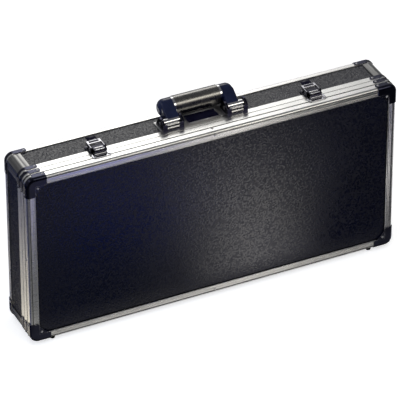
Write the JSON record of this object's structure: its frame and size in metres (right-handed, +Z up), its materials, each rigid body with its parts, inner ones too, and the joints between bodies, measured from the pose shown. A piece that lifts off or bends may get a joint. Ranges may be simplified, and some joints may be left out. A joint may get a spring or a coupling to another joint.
{
  "type": "effect pedal case",
  "caption": "Flat carrying case for guitar effect pedals: aluminium edges, black boards, pressed corners, a hinged lid with draw latches and a fold-down handle.",
  "frame": {"origin": "under the middle of the case, on the surface that its feet stand on", "axes": "+X along the length, -Y out of the lid's face, +Y out of the base's back, +Z up from the hinge side to the handle side"},
  "size_m": [0.6946, 0.1006, 0.3725],
  "materials": {
    "aluminium_sections": "satin anodised, extruded sections",
    "black_boards": "pebbled black plastic film over board",
    "dark_chrome_corners": "black chrome over pressed steel",
    "rivets": "bright nickel",
    "hinges": "plated steel",
    "latch_steel": "bright chrome",
    "latch_tabs": "polished black",
    "handle_brackets": "dark chrome",
    "handle_chrome": "bright chrome",
    "handle_plastic": "fine satin, near black",
    "handle_grip": "gunmetal lacquer",
    "handle_plate": "satin plated",
    "label_plate": "bare black enamel in a bright rim",
    "rubber_feet": "matt black",
    "foam_lining": "dark grey open foam"
  },
  "bodies": {
    "base": {"base_back_frame": "aluminium_sections", "base_back_panel": "black_boards", "base_ball_corner_bottom_left": "dark_chrome_corners", "base_ball_corner_bottom_right": "dark_chrome_corners", "base_ball_corner_top_left": "dark_chrome_corners", "base_ball_corner_top_right": "dark_chrome_corners", "base_bottom_panel": "black_boards", "base_feet": "rubber_feet", "base_foam_bed": "foam_lining", "base_foam_walls": "foam_lining", "base_left_panel": "black_boards", "base_right_panel": "black_boards", "base_rim": "aluminium_sections", "base_rim_brackets": "dark_chrome_corners", "base_rivets": "rivets", "base_top_panel": "black_boards", "corner_post_bottom_left": "aluminium_sections", "corner_post_bottom_right": "aluminium_sections", "corner_post_top_left": "aluminium_sections", "corner_post_top_right": "aluminium_sections", "handle_bracket_left": "handle_brackets", "handle_bracket_right": "handle_brackets", "handle_pins": "handle_chrome", "handle_plate": "handle_plate", "hinge_base_leaf_left": "hinges", "hinge_base_leaf_right": "hinges", "hinge_pins": "hinges", "label_plate": "label_plate", "latch_base_left": "latch_steel", "latch_base_right": "latch_steel", "latch_pivots": "latch_steel"},
    "handle": {"handle_arm_left": "handle_plastic", "handle_arm_right": "handle_plastic", "handle_barrels": "handle_chrome", "handle_ferrules": "handle_chrome", "handle_grip": "handle_grip"},
    "lid": {"hinge_lid_leaf_left": "hinges", "hinge_lid_leaf_right": "hinges", "latch_keeper_left": "latch_steel", "latch_keeper_right": "latch_steel", "lid_ball_corner_bottom_left": "dark_chrome_corners", "lid_ball_corner_bottom_right": "dark_chrome_corners", "lid_ball_corner_top_left": "dark_chrome_corners", "lid_ball_corner_top_right": "dark_chrome_corners", "lid_edge_frame": "aluminium_sections", "lid_feet": "rubber_feet", "lid_foam": "foam_lining", "lid_panel": "black_boards", "lid_rim": "aluminium_sections", "lid_rim_brackets": "dark_chrome_corners", "lid_rivets": "rivets", "lid_side_boards": "black_boards"},
    "latch_hook_left": {"latch_hook_left": "latch_steel"},
    "latch_hook_right": {"latch_hook_right": "latch_steel"},
    "latch_lever_left": {"latch_lever_left": "latch_steel", "latch_thumb_tab_left": "latch_tabs"},
    "latch_lever_right": {"latch_lever_right": "latch_steel", "latch_thumb_tab_right": "latch_tabs"}
  },
  "joints": [
    {"name": "lid_hinge", "type": "hinge", "parent": "base", "child": "lid", "pos_m": [0, -0.0198, 0.0038], "axis": [1, 0, 0], "range_deg": [0, 110]},
    {"name": "handle_swing", "type": "hinge", "parent": "base", "child": "handle", "pos_m": [0, 0, 0.3465], "axis": [1, 0, 0], "range_deg": [0, 90]},
    {"name": "latch_left", "type": "hinge", "parent": "base", "child": "latch_lever_left", "pos_m": [-0.201, -0.0125, 0.3419], "axis": [1, 0, 0], "range_deg": [0, 80]},
    {"name": "latch_hook_left_pivot", "type": "hinge", "parent": "latch_lever_left", "child": "latch_hook_left", "pos_m": [-0.201, -0.0065, 0.3421], "axis": [1, 0, 0], "range_deg": [-95, 0]},
    {"name": "latch_right", "type": "hinge", "parent": "base", "child": "latch_lever_right", "pos_m": [0.201, -0.0125, 0.3419], "axis": [1, 0, 0], "range_deg": [0, 80]},
    {"name": "latch_hook_right_pivot", "type": "hinge", "parent": "latch_lever_right", "child": "latch_hook_right", "pos_m": [0.201, -0.0065, 0.3421], "axis": [1, 0, 0], "range_deg": [-95, 0]}
  ],
  "couplings": [
    {"joint": "latch_hook_left_pivot", "follows": "latch_left", "ratio": -1.15},
    {"joint": "latch_hook_right_pivot", "follows": "latch_right", "ratio": -1.15}
  ]
}
